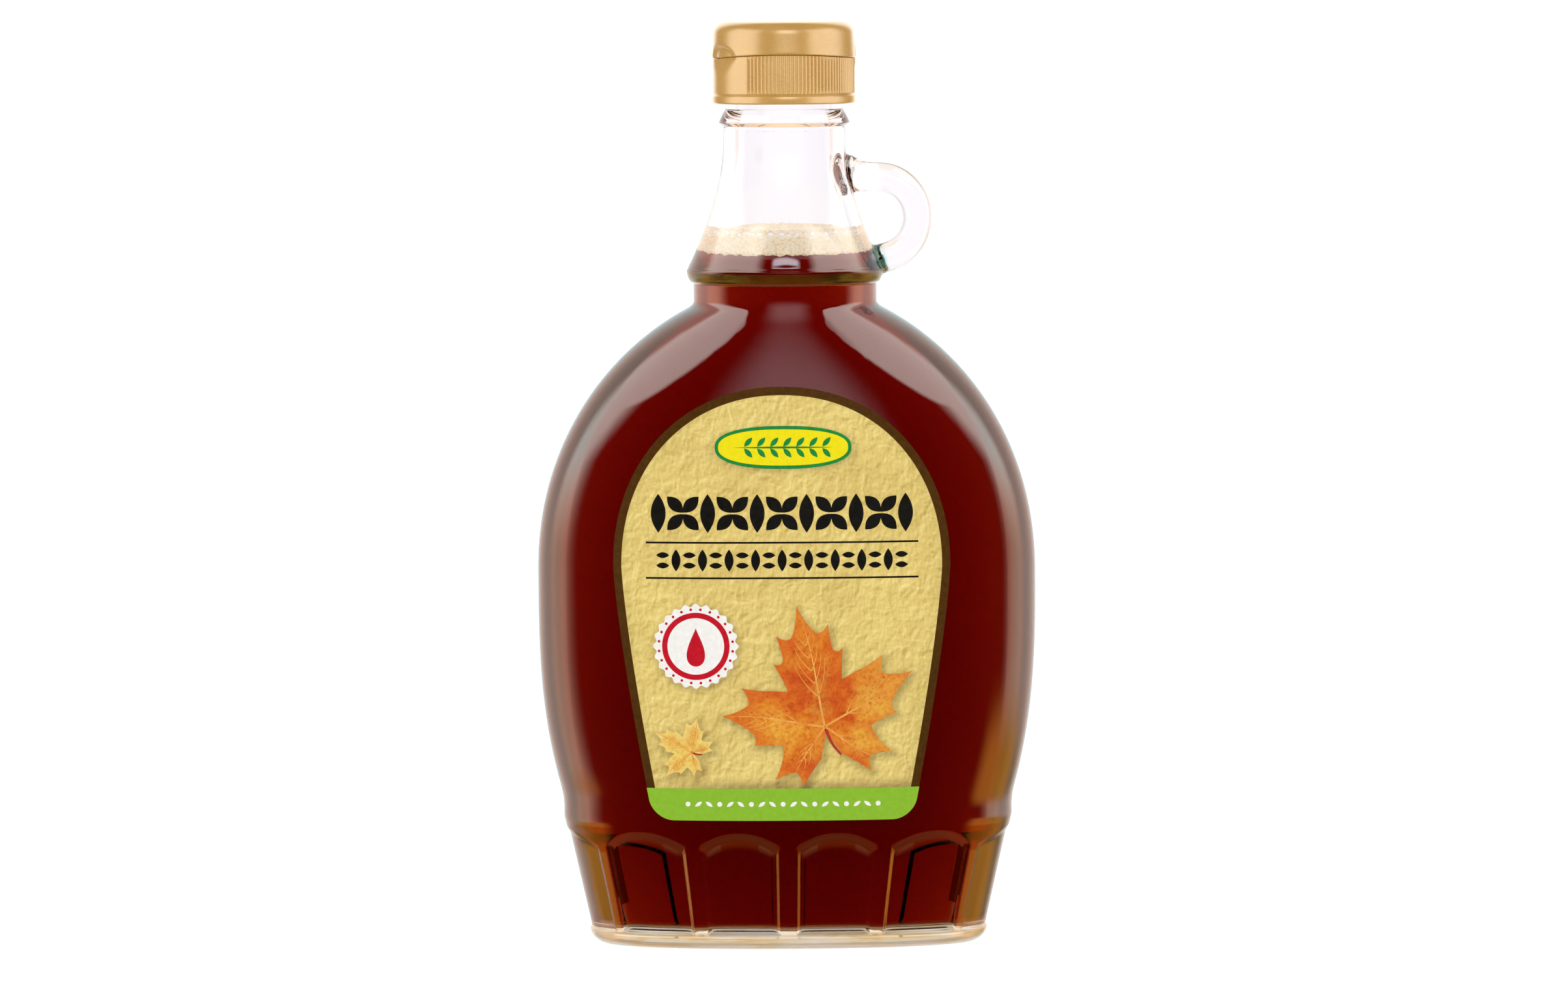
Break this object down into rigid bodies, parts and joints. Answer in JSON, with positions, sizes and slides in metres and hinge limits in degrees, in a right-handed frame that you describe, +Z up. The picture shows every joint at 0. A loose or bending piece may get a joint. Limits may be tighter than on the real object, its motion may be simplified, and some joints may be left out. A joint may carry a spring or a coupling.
{
  "type": "syrup bottle",
  "caption": "Flat oval clear glass flask of dark syrup with a small ring handle on the neck, arched flutes round the foot, a flip-top screw cap and an arched front label.",
  "frame": {"origin": "centre of the foot, on the surface that the bottle stands on", "axes": "+Z up along the neck, the broad face with the label looks along -Y, the width runs along X and the ring handle is on the +X side"},
  "size_m": [0.1122, 0.0572, 0.2074],
  "materials": {
    "clear_glass": "clear, polished",
    "dark_syrup": "dark red-brown liquid, clear in thin places",
    "syrup_foam": "fine cream-coloured bubbles",
    "gold_plastic": "satin gold, fine upright ribs",
    "label_paper": "textured tan paper, printed"
  },
  "bodies": {
    "root": {"bottle": "clear_glass", "syrup": "dark_syrup", "foam": "syrup_foam", "cap_collar": "gold_plastic", "cap_lid": "gold_plastic", "label": "label_paper"}
  },
  "joints": []
}
